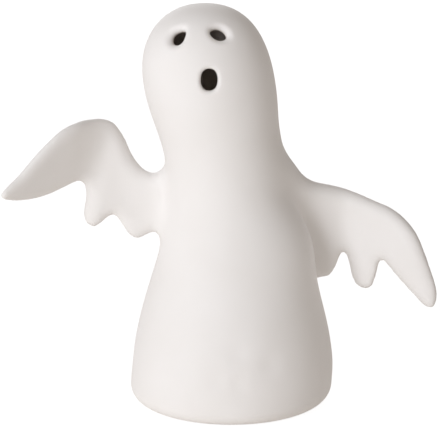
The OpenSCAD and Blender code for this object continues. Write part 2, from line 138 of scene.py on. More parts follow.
def round_cut(a: Array, b: Array, radius: float) -> Array:
    """Common part of two distance fields with a round edge.

    Args:
        a: First field.
        b: Second field, negative where the solid stays.
        radius: Radius of the edge.

    Returns:
        The field of the common part.
    """
    corner = np.hypot(np.maximum(a + radius, 0), np.maximum(b + radius, 0))
    return np.minimum(-radius, np.maximum(a, b)) + corner


def oval_distance(u: Array, v: Array, half_u: Number, half_v: Number, power: float) -> Array:
    """Distance to an oval, which is an ellipse where its power is two.

    Args:
        u: How far out along its first axis, as a share of that half axis.
        v: How far out along its second axis, as a share of that half axis.
        half_u: First half axis.
        half_v: Second half axis.
        power: Two for an ellipse, more for fuller corners.

    Returns:
        The distance, negative inside.
    """
    share = (u**power + v**power) ** (1 / power)
    steep = np.hypot((u / share) ** (power - 1) / half_u, (v / share) ** (power - 1) / half_v)
    return (share - 1) / steep


def smooth_curve(points: Sequence[Pair], steps: int) -> Array:
    """Closed curve that passes smoothly through given points.

    Args:
        points: Corners of the curve in order.
        steps: Points made from each corner to the next.

    Returns:
        Points of the curve, one row each.
    """
    p1 = np.asarray(points, float)
    p0, p2, p3 = np.roll(p1, 1, 0), np.roll(p1, -1, 0), np.roll(p1, -2, 0)
    rows = []
    for step in range(steps):
        t = step / steps
        square = t**2 * (2 * p0 - 5 * p1 + 4 * p2 - p3)
        cube = t**3 * (3 * p1 - p0 - 3 * p2 + p3)
        rows.append(p1 + 0.5 * (t * (p2 - p0) + square + cube))
    return np.stack(rows, 1).reshape(-1, 2)


# The ceramic skin as one distance field, in millimetres


@dataclass(frozen=True)
class BodyForm:
    """Turned body whose axis leans towards the raised arm, all sizes in millimetres."""

    base_r: float
    height: float
    foot_z: float
    edge_r: float = 5.7
    skirt_from_z: float = 8.8
    neck_r: float = 21.3
    neck_z: float = 92.0
    head_r: float = 24.1
    head_z: float = 120.0
    dome_power: float = 2.3
    skirt_out: float = 0.8
    skirt_out_over: float = 17.1
    lean: float = 10.3
    lean_from_z: float = 48.0
    lean_to_z: float = 142.0
    lean_power: float = 1.2
    swell: float = 3.2
    swell_z: float = 62.5
    swell_over: float = 13.0
    wall: float = 3.5
    bore_r: float = 24.5
    bore_top_z: float = 14.0
    bore_fillet: float = 1.5
    probe: float = 0.05

    def axis_x(self, z: Number) -> Number:
        """Sideways place of the body's axis.

        Args:
            z: Heights.

        Returns:
            Place along X at each height.
        """
        up = np.clip((z - self.lean_from_z) / (self.lean_to_z - self.lean_from_z), 0, 1)
        out = fade_in(z, (self.foot_z, self.foot_z + self.skirt_out_over))
        return self.skirt_out * out - self.lean * smooth_step(up**self.lean_power)

    def radius(self, z: Array) -> Array:
        """Radius of the body's side, up to the widest part of the head.

        Args:
            z: Heights.

        Returns:
            Radius at each height.
        """
        skirt = mix(self.base_r, self.neck_r, fade_in(z, (self.skirt_from_z, self.neck_z)))
        throat = mix(self.neck_r, self.head_r, fade_in(z, (self.neck_z, self.head_z)))
        return np.where(z < self.neck_z, skirt, throat)

    def wall_distance(self, x: Array, y: Array, z: Array) -> Array:
        """Distance to the body's side and crown, without its flat foot.

        Args:
            x: Places along X.
            y: Places along Y.
            z: Heights.

        Returns:
            The distance, negative inside.
        """
        off_axis = x - self.axis_x(z)
        out = np.hypot(off_axis, y)
        slope = (self.radius(z + self.probe) - self.radius(z - self.probe)) / (2 * self.probe)
        right = np.maximum(off_axis, 0) / np.maximum(out, TINY)
        swell = self.swell * right**2 * np.exp(-(((z - self.swell_z) / self.swell_over) ** 2))
        side = (out - self.radius(z) - swell) / np.sqrt(1 + slope**2)
        tall = self.height - self.head_z
        across, up = np.maximum(out, TINY) / self.head_r, np.maximum(z - self.head_z, 0) / tall
        dome = oval_distance(across, up, self.head_r, tall, self.dome_power)
        return np.where(z < self.head_z, side, dome)

    def outer(self, x: Array, y: Array, z: Array) -> Array:
        """Distance to the filled body with its round foot edge."""
        return round_cut(self.wall_distance(x, y, z), self.foot_z - z, self.edge_r)

    def hollow(self, filled: Array, x: Array, y: Array, z: Array) -> Array:
        """Distance to the inner hollow with the opening in the foot.

        Args:
            filled: Distance to the filled body.
            x: Places along X.
            y: Places along Y.
            z: Heights.

        Returns:
            The distance, negative in the hollow.
        """
        bore = np.maximum(np.hypot(x, y) - self.bore_r, z - self.bore_top_z)
        return soft_union(filled + self.wall, bore, self.bore_fillet)


@dataclass(frozen=True)
class FlatGrid:
    """Distances to an arm's outline and to its crest over its plane, in millimetres."""

    pitch: float
    xs: Array
    zs: Array
    outline: Array
    crest: Array
    last_cell: float = 1.001

    def read(self, x: Array, z: Array) -> tuple[Array, Array]:
        """Reads both distances between the grid's places.

        Args:
            x: Places along the arm.
            z: Heights.

        Returns:
            Distance to the outline, negative inside, and distance to its crest.
        """
        xs, zs = self.xs, self.zs
        u = np.clip((x - xs[0]) / self.pitch, 0, len(xs) - self.last_cell)
        v = np.clip((z - zs[0]) / self.pitch, 0, len(zs) - self.last_cell)
        i, j = u.astype(int), v.astype(int)
        s, t = u - i, v - j
        beyond = np.hypot(x - np.clip(x, xs[0], xs[-1]), z - np.clip(z, zs[0], zs[-1]))
        found = []
        for rows in (self.outline, self.crest):
            near = mix(rows[i, j], rows[i + 1, j], s)
            far = mix(rows[i, j + 1], rows[i + 1, j + 1], s)
            found.append(mix(near, far, t) + beyond)
        return found[0], found[1]


@dataclass(frozen=True)
class Sink:
    """Part of an arm that lies further back, fading towards the hand and the crest."""

    depth: float
    along: Pair
    up: Pair

    def at(self, s: Array, share: Array) -> Array:
        """How far back it lies, at shares of the arm's reach and height."""
        return self.depth * fade_out(s, self.along) * fade_out(share, self.up)


@dataclass(frozen=True)
class Twist:
    """Lean of an arm's face about a slanting line, past a soft fold, with turns in degrees."""

    rate: float
    pivot: Pair
    turn: float
    fold_at: Pair
    fold_turn: float
    fold_w: float


@dataclass
class ArmForm:
    """Flat arm with a dripping hem, bent forward at the hand.

    Sizes are in millimetres. A pair named along is in shares of the reach, from the body's axis to the
    hand, and a pair named up is in shares of the height, from the hem to the crest.
    """

    side: int
    reach: float
    low_z: float
    height: float
    outline: Sequence[Pair]
    crest_points: int
    rest_y: float
    back: float
    back_along: Pair
    forward: float
    forward_along: Pair
    root_half_t: float
    crest_half_t: float
    fillet: Pair
    sinks: Sequence[Sink]
    fillet_up: Pair = (0.0, 1.0)
    twist: Twist | None = None
    half_t: float = 3.4
    root_along: Pair = (0.0, 0.52)
    tip_share: float = 0.75
    hand_along: Pair = (0.7, 1.0)
    edge_share: float = 1.6
    crest_edge_share: float = 1.05
    crest_over: Pair = (0.0, 11.0)
    crest_along: Pair = (0.85, 1.05)
    soft_depth: Pair = (0.7, 2.2)
    pitch: float = 0.4
    margin: float = 12.0
    grid: FlatGrid | None = None

    def prepare(self) -> None:
        """Works out the outline's distances on a flat grid, which the field reads."""
        curve = smooth_curve(self.outline, OUTLINE_STEPS) * [self.reach, self.height] + [0, self.low_z]
        low, high = curve.min(0) - self.margin, curve.max(0) + self.margin
        xs = np.arange(low[0], high[0], self.pitch)
        zs = np.arange(low[1], high[1], self.pitch)
        px, pz = (g.ravel() for g in np.meshgrid(xs, zs, indexing="ij"))
        ends = np.roll(curve, -1, 0)
        runs = ends - curve
        lengths = np.hypot(*runs.T)
        crest_rows = self.crest_points * OUTLINE_STEPS
        exact = np.full(px.shape, np.inf)
        crest = np.full(px.shape, np.inf)
        crowd = np.zeros(px.shape)
        inside = np.zeros(px.shape, bool)
        for row, ((ax, az), (dx, dz), (bx, bz), ds) in enumerate(zip(curve, runs, ends, lengths)):
            t = np.clip(((px - ax) * dx + (pz - az) * dz) / (ds * ds), 0, 1)
            exact = np.minimum(exact, np.hypot(px - ax - t * dx, pz - az - t * dz))
            if row < crest_rows:
                crest = np.minimum(crest, exact)
            middle = np.hypot(px - (ax + bx) / 2, pz - (az + bz) / 2)
            crowd += ds / np.maximum(middle, self.pitch) ** 4
            if abs(dz) > 0:
                inside ^= ((az > pz) != (bz > pz)) & (px < dx * (pz - az) / dz + ax)
        # A long straight edge gives its own distance back here, and the arm's middle line stays smooth.
        soft = (2 / np.pi * crowd) ** (-1 / 3)
        depth = mix(exact, soft, fade_in(exact, self.soft_depth))
        shape = (len(xs), len(zs))
        outline = np.where(inside, -depth, exact).reshape(shape)
        self.grid = FlatGrid(self.pitch, xs, zs, outline, crest.reshape(shape))

    def offset(self, s: Array, share: Array, start: Pair, turn: float) -> Array:
        """Distance past a line in the arm's plane.

        Args:
            s: Shares of the reach.
            share: Shares of the height.
            start: Shares of the reach and the height at a point of the line.
            turn: Degrees from the reach up to the way that is measured.

        Returns:
            The distance, negative before the line.
        """
        angle = math.radians(turn)
        along = math.cos(angle) * self.reach * (s - start[0])
        return along + math.sin(angle) * self.height * (share - start[1])

    def middle_y(self, s: Array, z: Array) -> Array:
        """Depth of the arm's middle.

        Args:
            s: Shares of the reach.
            z: Heights.

        Returns:
            Place along Y.
        """
        share = (z - self.low_z) / self.height
        back = self.back * fade_in(s, self.back_along)
        forward = self.forward * fade_in(s, self.forward_along)
        middle = self.rest_y + back - forward
        if self.twist:
            across = self.offset(s, share, self.twist.pivot, self.twist.turn)
            beyond = self.offset(s, share, self.twist.fold_at, self.twist.fold_turn)
            folded = fade_in(beyond, (-self.twist.fold_w, self.twist.fold_w))
            middle = middle - self.twist.rate * across * folded
        for sink in self.sinks:
            middle = middle + sink.at(s, share)
        return middle

    def distance(self, x: Array, y: Array, z: Array) -> Array:
        """Distance to the arm, smooth over its faces and round at its edge.

        Args:
            x: Places along X.
            y: Places along Y.
            z: Heights.

        Returns:
            The distance, negative inside.
        """
        along = self.side * x
        s = along / self.reach
        flat, crest = self.grid.read(along + np.zeros_like(z), z + np.zeros_like(x))
        taper = mix(1.0, self.tip_share, fade_in(s, self.hand_along))
        slab = mix(self.root_half_t, self.half_t, fade_in(s, self.root_along)) * taper
        crested = fade_out(crest, self.crest_over) * fade_out(s, self.crest_along)
        more = np.maximum(self.crest_half_t - slab, 0) * crested
        half = slab + more
        wide = mix(self.edge_share, self.crest_edge_share, crested) * half
        within = 1 - np.clip(-flat / wide, 0, 1)
        edge = np.where(flat > 0, half + flat, half * within)
        return np.hypot(edge, y - self.middle_y(s, z) - more) - half

    def blend_width(self, z: Array) -> Array:
        """Width of the blend into the body, from the hem to the shoulder."""
        share = (z - self.low_z) / self.height
        return mix(*self.fillet, fade_in(share, self.fillet_up))


@dataclass(frozen=True)
class Opening:
    """Pierced hole in the head: an oval that may narrow to one side.

    Sizes are in millimetres. In degrees, turn goes round the head, tilt looks up, and slope turns the oval.
    """

    z: float
    turn: float
    tilt: float
    w: float
    h: float
    power: float
    soft: float
    slope: float = 0.0
    narrow: float = 0.0
    narrow_limits: Pair = (0.3, 1.7)
    depth: float = 9.0

    def seat(self, body: BodyForm) -> tuple[Array, tuple[Array, Array, Array]]:
        """Where the hole sits on the head, and which way it looks.

        Args:
            body: The body that the hole is cut in.

        Returns:
            Its centre, and its directions across, up and out.
        """
        turn, tilt = math.radians(self.turn), math.radians(self.tilt)
        up = max(self.z - body.head_z, 0.0) / (body.height - body.head_z)
        r = body.head_r * (1 - up**body.dome_power) ** (1 / body.dome_power)
        level = np.array([math.sin(turn), -math.cos(turn), 0.0])
        across = np.array([math.cos(turn), math.sin(turn), 0.0])
        out = level * math.cos(tilt) + np.array([0.0, 0.0, math.sin(tilt)])
        centre = level * r + np.array([float(body.axis_x(self.z)), 0.0, self.z])
        return centre, (across, np.cross(across, -out), out)

    def distance(self, x: Array, y: Array, z: Array, body: BodyForm) -> Array:
        """Distance to the piercing tool, negative inside it.

        Args:
            x: Places along X.
            y: Places along Y.
            z: Heights.
            body: The body that the hole is cut in.

        Returns:
            The tool's field.
        """
        centre, ways = self.seat(body)
        place = (x - centre[0], y - centre[1], z - centre[2])
        flat_u, flat_v, w = (sum(p * c for p, c in zip(place, way)) for way in ways)
        slope = math.radians(self.slope)
        u = flat_u * math.cos(slope) + flat_v * math.sin(slope)
        v = flat_v * math.cos(slope) - flat_u * math.sin(slope)
        half_u = self.w / 2
        half_v = self.h / 2 * np.clip(1 - self.narrow * u / half_u, *self.narrow_limits)
        far_u, far_v = np.abs(u) / half_u + TINY, np.abs(v) / half_v + TINY
        ring = oval_distance(far_u, far_v, half_u, half_v, self.power)
        return np.maximum(ring, -(w + self.depth))


@dataclass(frozen=True)
class Dent:
    """Shallow dent that a thumb left in the soft clay of the front, sizes in millimetres."""

    x: float
    z: float
    r: float = 3.5
    depth: float = 0.4

    def distance(self, x: Array, y: Array, z: Array) -> Array:
        """How far the front's surface sinks at a place."""
        far = ((x - self.x) ** 2 + (z - self.z) ** 2) / self.r**2
        return np.where(y < 0, self.depth * np.exp(-far), 0.0)


@dataclass(frozen=True)
class SkinField:
    """The whole ceramic skin: body and arms in one, hollow and pierced."""

    body: BodyForm
    arms: Sequence[ArmForm]
    openings: Sequence[Opening]
    dents: Sequence[Dent]
    inner_edge_r: float = 0.8

    def value(self, x: Array, y: Array, z: Array) -> Array:
        """Signed distance to the skin.

        Args:
            x: Places along X.
            y: Places along Y.
            z: Heights.

        Returns:
            The distance, negative in the clay.
        """
        filled = self.body.outer(x, y, z)
        solid = filled
        for arm in self.arms:
            solid = soft_union(solid, arm.distance(x, y, z), arm.blend_width(z))
        for dent in self.dents:
            solid = solid + dent.distance(x, y, z)
        solid = np.maximum(solid, self.body.foot_z - z)
        for opening in self.openings:
            solid = round_cut(solid, -opening.distance(x, y, z, self.body), opening.soft)
        return round_cut(solid, -self.body.hollow(filled, x, y, z), self.inner_edge_r)


def surface_net(values: Array, axes: Sequence[Array]) -> tuple[Array, Array]:
    """Quad mesh of a field's zero level, with one vertex in each cell that it crosses.

    Args:
        values: Field on the grid's corners.
        axes: Grid places along X, Y and Z.

    Returns:
        Vertices and quads.
    """
    shape = np.array(values.shape)
    inside = values < 0
    total = np.zeros((values.size, 3))
    count = np.zeros(values.size)
    strides = np.array([shape[1] * shape[2], shape[2], 1])
    quads = []
    for axis in range(3):
        head, tail = [slice(None)] * 3, [slice(None)] * 3
        head[axis], tail[axis] = slice(0, -1), slice(1, None)
        first, last = values[tuple(head)], values[tuple(tail)]
        cells = np.argwhere(inside[tuple(head)] != inside[tuple(tail)])
        at = tuple(cells.T)
        share = first[at] / (first[at] - last[at])
        point = np.stack([axes[k][cells[:, k]] for k in range(3)], 1)
        point[:, axis] = mix(point[:, axis], axes[axis][cells[:, axis] + 1], share)
        base = cells @ strides
        u, v = strides[(axis + 1) % 3], strides[(axis + 2) % 3]
        ring = np.stack([base - u - v, base - v, base, base - u], 1)
        for corner in ring.T:
            count += np.bincount(corner, minlength=values.size)
            for k in range(3):
                total[:, k] += np.bincount(corner, weights=point[:, k], minlength=values.size)
        outward = inside[tuple(head)][at]
        quads.append(np.where(outward[:, None], ring, ring[:, ::-1]))
    used = np.flatnonzero(count)
    index = np.full(values.size, -1)
    index[used] = np.arange(len(used))
    return total[used] / count[used, None], index[np.concatenate(quads)]


@dataclass(frozen=True)
class Settling:
    """Spreads a mesh's vertices evenly and lays them on a field's zero level, in millimetres."""

    rounds: int = 4
    passes: int = 2
    spread: float = 0.5
    probe: float = 0.04
    longest: float = 0.8
    least_steep: float = 0.05

    def even_out(self, points: Array, pairs: Array) -> Array:
        """Moves each vertex towards the middle of its neighbours.

        Args:
            points: Vertices.
            pairs: Numbers of each vertex and one of its neighbours.

        Returns:
            The new vertices.
        """
        own, next_to = pairs.T
        count = np.bincount(own, minlength=len(points))
        sums = [np.bincount(own, weights=points[next_to, k], minlength=len(points)) for k in range(3)]
        return mix(points, np.stack(sums, 1) / np.maximum(count, 1)[:, None], self.spread)

    def project(self, points: Array, value: DistanceField) -> Array:
        """Moves each vertex along the field's slope towards the zero level.

        Args:
            points: Vertices.
            value: The field.

        Returns:
            The new vertices.
        """
        here = value(*points.T)
        rises = [value(*(points + step).T) - value(*(points - step).T) for step in self.probe * np.eye(3)]
        slope = np.stack(rises, 1) / (2 * self.probe)
        steep = np.maximum((slope**2).sum(1), self.least_steep)
        move = -np.clip(here, -self.longest, self.longest)[:, None] * slope / steep[:, None]
        return points + np.clip(move, -self.longest, self.longest)

    def lay(self, points: Array, quads: Array, value: DistanceField) -> Array:
        """Evens a mesh out and lays it on the zero level by turns, ending on the level.

        Args:
            points: Vertices.
            quads: Faces.
            value: The field.

        Returns:
            The new vertices.
        """
        pairs = np.concatenate([quads[:, [k, (k + 1) % 4]] for k in range(4)])
        for turn in range(self.rounds):
            if turn < self.rounds - 1:
                points = self.even_out(points, pairs)
            for _ in range(self.passes):
                points = self.project(points, value)
        return points


# Meshes


def new_object(name: str, points: Array, faces: Faces, smooth: bool = True) -> bpy.types.Object:
    """Links a mesh made from points in millimetres.

    Args:
        name: Name of the piece.
        points: Vertices in millimetres.
        faces: Faces as lists of vertex numbers.
        smooth: Whether faces are shaded smooth.

    Returns:
        The new object.
    """
    mesh = bpy.data.meshes.new(name)
    rows = faces.tolist() if isinstance(faces, np.ndarray) else faces
    mesh.from_pydata((np.asarray(points) * MM).tolist(), [], rows)
    mesh.validate()
    mesh.polygons.foreach_set("use_smooth", [smooth] * len(mesh.polygons))
    mesh.update()
    piece = bpy.data.objects.new(name, mesh)
    bpy.context.scene.collection.objects.link(piece)
    return piece


def lathe(name: str, outline: Sequence[Pair], sides: int) -> bpy.types.Object:
    """Turned piece round the Z axis.

    Args:
        name: Name of the piece.
        outline: Radius and height of each point of its closed section, in millimetres.
        sides: Points round the axis.

    Returns:
        The new object.
    """
    points, rows = [], []
    for r, z in outline:
        if r < TINY:
            rows.append([len(points)] * sides)
            points.append((0.0, 0.0, z))
            continue
        rows.append(list(range(len(points), len(points) + sides)))
        turns = [2 * math.pi * k / sides for k in range(sides)]
        points += [(r * math.cos(a), r * math.sin(a), z) for a in turns]
    faces = []
    for low, high in zip(rows, rows[1:] + rows[:1]):
        for k in range(sides):
            after = (k + 1) % sides
            kept = list(dict.fromkeys((low[k], low[after], high[after], high[k])))
            if len(kept) > 2:
                faces.append(kept)
    return new_object(name, np.array(points), faces)


# Shader building blocks

MIX_FACTOR = 0
MIX_FLOATS = (2, 3)
MIX_COLOURS = (6, 7)
MIX_COLOUR_OUT = 2


@dataclass
class NodeSet:
    """Short way to add and join nodes in one tree."""

    tree: bpy.types.NodeTree

    def add(self, kind: str, **values: object) -> bpy.types.Node:
        """Adds a node and sets its sockets or properties by name.

        Args:
            kind: Blender's type name of the node.
            **values: Socket names, with spaces as underscores, or property names.

        Returns:
            The node.
        """
        node = self.tree.nodes.new(kind)
        for key, value in values.items():
            name = key.replace("_", " ")
            if name in node.inputs:
                node.inputs[name].default_value = value
            else:
                setattr(node, key, value)
        return node

    def join(self, source: bpy.types.NodeSocket, target: bpy.types.NodeSocket) -> None:
        """Links an output to an input."""
        self.tree.links.new(source, target)

    def tint(
        self, mask: bpy.types.NodeSocket, under: bpy.types.NodeSocket | Point, over: Point
    ) -> bpy.types.NodeSocket:
        """Lays a colour over another where a mask is white.

        Args:
            mask: The mask.
            under: The colour underneath, plain or from another node.
            over: The colour on top.

        Returns:
            The output with the mixed colour.
        """
        node = self.add("ShaderNodeMix", data_type="RGBA")
        below, above = (node.inputs[k] for k in MIX_COLOURS)
        self.join(mask, node.inputs[MIX_FACTOR])
        if isinstance(under, bpy.types.NodeSocket):
            self.join(under, below)
        else:
            below.default_value = (*under, 1)
        above.default_value = (*over, 1)
        return node.outputs[MIX_COLOUR_OUT]


def fresh_nodes(owner: bpy.types.Material | bpy.types.World) -> NodeSet:
    """Empty node tree of a material or a world.

    Args:
        owner: The material or the world.

    Returns:
        Its nodes.
    """
    owner.use_nodes = True
    owner.node_tree.nodes.clear()
    return NodeSet(owner.node_tree)


def make_group(
    name: str, inputs: dict[str, float], outputs: Sequence[str]
) -> tuple[NodeSet, bpy.types.Node, bpy.types.Node]:
    """Starts a shader node group with float inputs and outputs.

    Args:
        name: Name of the group.
        inputs: Names and default values of its inputs.
        outputs: Names of its outputs.

    Returns:
        Its nodes, its input node and its output node.
    """
    tree = bpy.data.node_groups.new(name, "ShaderNodeTree")
    for label, value in inputs.items():
        socket = tree.interface.new_socket(label, in_out="INPUT", socket_type="NodeSocketFloat")
        socket.default_value = value
    for label in outputs:
        tree.interface.new_socket(label, in_out="OUTPUT", socket_type="NodeSocketFloat")
    nodes = NodeSet(tree)
    return nodes, nodes.add("NodeGroupInput"), nodes.add("NodeGroupOutput")


@dataclass
class Effects:
    """Shared surface effects as node groups, each made once."""

    tooth: bpy.types.NodeTree | None = None
    specks: bpy.types.NodeTree | None = None

    def build(self) -> None:
        """Makes every group."""
        self.tooth = self.make_tooth()
        self.specks = self.make_specks()

    def make_tooth(self) -> bpy.types.NodeTree:
        """Fine tooth of a surface over a slow drift of tone.

        Returns:
            The group.
        """
        inputs = {"Fine Scale": 3000.0, "Slow Scale": 60.0, "Slow Share": 0.3}
        nodes, source, result = make_group("surface_tooth", inputs, ["Height", "Drift"])
        place = nodes.add("ShaderNodeTexCoord")
        fine = nodes.add("ShaderNodeTexNoise", Detail=3.0, Roughness=0.6)
        slow = nodes.add("ShaderNodeTexNoise", Detail=2.0, Roughness=0.5)
        blend = nodes.add("ShaderNodeMix", data_type="FLOAT")
        nodes.join(source.outputs["Slow Share"], blend.inputs[MIX_FACTOR])
        for noise, label, socket in zip((fine, slow), ("Fine Scale", "Slow Scale"), MIX_FLOATS):
            nodes.join(place.outputs["Object"], noise.inputs["Vector"])
            nodes.join(source.outputs[label], noise.inputs["Scale"])
            nodes.join(noise.outputs[0], blend.inputs[socket])
        nodes.join(blend.outputs[0], result.inputs["Height"])
        nodes.join(slow.outputs[0], result.inputs["Drift"])
        return nodes.tree

    def make_specks(self) -> bpy.types.NodeTree:
        """Sparse small specks, as iron spots in clay or dust on plastic.

        Returns:
            The group.
        """
        inputs = {"Scale": 260.0, "Size": 0.1, "Share": 0.1}
        nodes, source, result = make_group("fine_specks", inputs, ["Mask"])
        place = nodes.add("ShaderNodeTexCoord")
        cells = nodes.add("ShaderNodeTexVoronoi")
        dot = nodes.add("ShaderNodeMath", operation="LESS_THAN")
        pick = nodes.add("ShaderNodeMath", operation="LESS_THAN")
        both = nodes.add("ShaderNodeMath", operation="MULTIPLY")
        tint = nodes.add("ShaderNodeSeparateColor")
        nodes.join(place.outputs["Object"], cells.inputs["Vector"])
        nodes.join(source.outputs["Scale"], cells.inputs["Scale"])
        nodes.join(cells.outputs["Distance"], dot.inputs[0])
        nodes.join(source.outputs["Size"], dot.inputs[1])
        nodes.join(cells.outputs["Color"], tint.inputs[0])
        nodes.join(tint.outputs[0], pick.inputs[0])
        nodes.join(source.outputs["Share"], pick.inputs[1])
        nodes.join(dot.outputs[0], both.inputs[0])
        nodes.join(pick.outputs[0], both.inputs[1])
        nodes.join(both.outputs[0], result.inputs["Mask"])
        return nodes.tree


@dataclass(frozen=True)
class Specks:
    """Sparse specks in a surface, with their scale in specks for each metre."""

    colour: Point
    scale: float
    size: float
    share: float


@dataclass(frozen=True)
class Finish:
    """One surface finish: its tones, gloss and fine relief."""

    name: str
    colour: Point
    shade: Point
    roughness: Pair
    fine_scale: float
    slow_scale: float
    slow_share: float
    relief_mm: float
    metallic: float = 0.0
    transmission: float = 0.0
    subsurface: float = 0.0
    subsurface_mm: float = 1.5
    sheen: float = 0.0
    specular: float = 0.5
    drift: Pair = (0.3, 0.7)
    specks: Specks | None = None
    # Darker, warmer colour of the marked inner walls: partly a guessed raw-clay tone, mostly painted shade
    # that darkens the view through the openings.
    inside: Point | None = None

    def build(self, effects: Effects) -> bpy.types.Material:
        """Makes the material.

        Args:
            effects: The shared node groups.

        Returns:
            The material.
        """
        material = bpy.data.materials.new(self.name)
        nodes = fresh_nodes(material)
        shader = nodes.add(
            "ShaderNodeBsdfPrincipled", Metallic=self.metallic, Transmission_Weight=self.transmission,
            Subsurface_Weight=self.subsurface, Subsurface_Scale=self.subsurface_mm * MM,
            Sheen_Weight=self.sheen, Specular_IOR_Level=self.specular,
        )
        result = nodes.add("ShaderNodeOutputMaterial")
        nodes.join(shader.outputs[0], result.inputs["Surface"])
        tooth = nodes.add(
            "ShaderNodeGroup", node_tree=effects.tooth, Fine_Scale=self.fine_scale,
            Slow_Scale=self.slow_scale, Slow_Share=self.slow_share,
        )
        spread = nodes.add("ShaderNodeMapRange", From_Min=self.drift[0], From_Max=self.drift[1])
        nodes.join(tooth.outputs["Drift"], spread.inputs["Value"])
        colour = nodes.tint(spread.outputs[0], self.shade, self.colour)
        if self.specks:
            spots = nodes.add(
                "ShaderNodeGroup", node_tree=effects.specks, Scale=self.specks.scale,
                Size=self.specks.size, Share=self.specks.share,
            )
            colour = nodes.tint(spots.outputs["Mask"], colour, self.specks.colour)
        # Painted shade: the marked inner walls take a darker, warmer colour so that the openings look dark.
        if self.inside:
            inside_shade = nodes.add("ShaderNodeAttribute", attribute_name=INSIDE_SHADE_MARK)
            colour = nodes.tint(inside_shade.outputs["Fac"], colour, self.inside)
        nodes.join(colour, shader.inputs["Base Color"])
        gloss = nodes.add("ShaderNodeMapRange", To_Min=self.roughness[0], To_Max=self.roughness[1])
        nodes.join(tooth.outputs["Height"], gloss.inputs["Value"])
        nodes.join(gloss.outputs[0], shader.inputs["Roughness"])
        bump = nodes.add("ShaderNodeBump", Distance=self.relief_mm * MM, Strength=1.0)
        nodes.join(tooth.outputs["Height"], bump.inputs["Height"])
        nodes.join(bump.outputs[0], shader.inputs["Normal"])
        return material


FINISHES: dict[Slot, Finish] = {
    Slot.BISQUE: Finish(
        "bisque", colour=(0.87, 0.855, 0.84), shade=(0.85, 0.832, 0.812), roughness=(0.62, 0.80),
        fine_scale=2600.0, slow_scale=45.0, slow_share=0.25, relief_mm=0.012, specular=0.35,
        # The inside colour is painted shade on the hollow's walls, over a guessed raw-clay tone.
        specks=Specks((0.50, 0.44, 0.38), scale=180.0, size=0.06, share=0.02), inside=(0.80, 0.74, 0.675),
    ),
    Slot.FELT: Finish(
        "felt", colour=(0.42, 0.40, 0.36), shade=(0.33, 0.31, 0.28), roughness=(0.9, 1.0),
        fine_scale=5200.0, slow_scale=500.0, slow_share=0.5, relief_mm=0.25, sheen=0.4, specular=0.1,
    ),
    Slot.CUP: Finish(
        "cup_plastic", colour=(0.84, 0.83, 0.79), shade=(0.81, 0.80, 0.76), roughness=(0.32, 0.44),
        fine_scale=1800.0, slow_scale=90.0, slow_share=0.4, relief_mm=0.006,
        specks=Specks((0.60, 0.57, 0.52), scale=320.0, size=0.05, share=0.03),
    ),
    Slot.FLAME: Finish(
        "flame_silicone", colour=(0.90, 0.74, 0.42), shade=(0.86, 0.66, 0.33), roughness=(0.42, 0.55),
        fine_scale=1500.0, slow_scale=120.0, slow_share=0.5, relief_mm=0.01,
        transmission=0.35, subsurface=0.25,
    ),
    Slot.LAMP: Finish(
        "lamp_resin", colour=(0.93, 0.88, 0.70), shade=(0.92, 0.86, 0.66), roughness=(0.05, 0.12),
        fine_scale=900.0, slow_scale=200.0, slow_share=0.5, relief_mm=0.002, transmission=0.8,
    ),
    Slot.WIRE: Finish(
        "tinned_wire", colour=(0.66, 0.65, 0.62), shade=(0.58, 0.57, 0.54), roughness=(0.28, 0.42),
        fine_scale=4000.0, slow_scale=600.0, slow_share=0.4, relief_mm=0.004, metallic=1.0,
    ),
    Slot.CONTACT: Finish(
        "contact_steel", colour=(0.62, 0.62, 0.60), shade=(0.54, 0.54, 0.53), roughness=(0.22, 0.36),
        fine_scale=3500.0, slow_scale=400.0, slow_share=0.3, relief_mm=0.003, metallic=1.0,
    ),
    Slot.CELL: Finish(
        "cell_steel", colour=(0.60, 0.61, 0.62), shade=(0.52, 0.53, 0.54), roughness=(0.20, 0.38),
        fine_scale=3000.0, slow_scale=300.0, slow_share=0.3, relief_mm=0.004, metallic=1.0,
    ),
    Slot.SWITCH: Finish(
        "switch_plastic", colour=(0.045, 0.045, 0.05), shade=(0.035, 0.035, 0.038), roughness=(0.38, 0.52),
        fine_scale=2400.0, slow_scale=200.0, slow_share=0.3, relief_mm=0.01,
    ),
}


@dataclass
class Workshop:
    """Finishes as materials, made when they are first needed."""

    effects: Effects
    made: dict[Slot, bpy.types.Material] = field(default_factory=dict)

    def material(self, slot: Slot) -> bpy.types.Material:
        """Material of a slot.

        Args:
            slot: The slot.

        Returns:
            The material, made once.
        """
        if slot not in self.made:
            self.made[slot] = FINISHES[slot].build(self.effects)
        return self.made[slot]

    def dress(self, piece: bpy.types.Object, slot: Slot) -> None:
        """Gives a new piece the material of its slot.

        Args:
            piece: The piece.
            slot: The slot.
        """
        piece.data.materials.clear()
        piece.data.materials.append(self.material(slot))

    def dress_node(self, node: str, slot: Slot) -> None:
        """Gives a carried-over CAD node its material."""
        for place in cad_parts[node].material_slots:
            place.material = self.material(slot)


# The figure


RAISED_OUTLINE = (
    (0.145, 0.540), (0.289, 0.542), (0.330, 0.528), (0.362, 0.536), (0.401, 0.584), (0.441, 0.686),
    (0.475, 0.828), (0.516, 0.940), (0.560, 0.989), (0.611, 1.014), (0.664, 1.022), (0.735, 0.982),
    (0.800, 0.891), (0.863, 0.777), (0.918, 0.669), (0.968, 0.590), (0.989, 0.548), (0.991, 0.514),
    (0.974, 0.486), (0.935, 0.458), (0.860, 0.440), (0.796, 0.452), (0.732, 0.485), (0.690, 0.507),
    (0.670, 0.506), (0.653, 0.476), (0.645, 0.420), (0.646, 0.350), (0.653, 0.280), (0.656, 0.205),
    (0.643, 0.142), (0.617, 0.117), (0.596, 0.126), (0.571, 0.160), (0.549, 0.192), (0.529, 0.205),
    (0.513, 0.192), (0.498, 0.156), (0.481, 0.100), (0.461, 0.044), (0.440, 0.010), (0.414, 0.000),
    (0.387, 0.024), (0.357, 0.058), (0.325, 0.073), (0.145, 0.070),
)

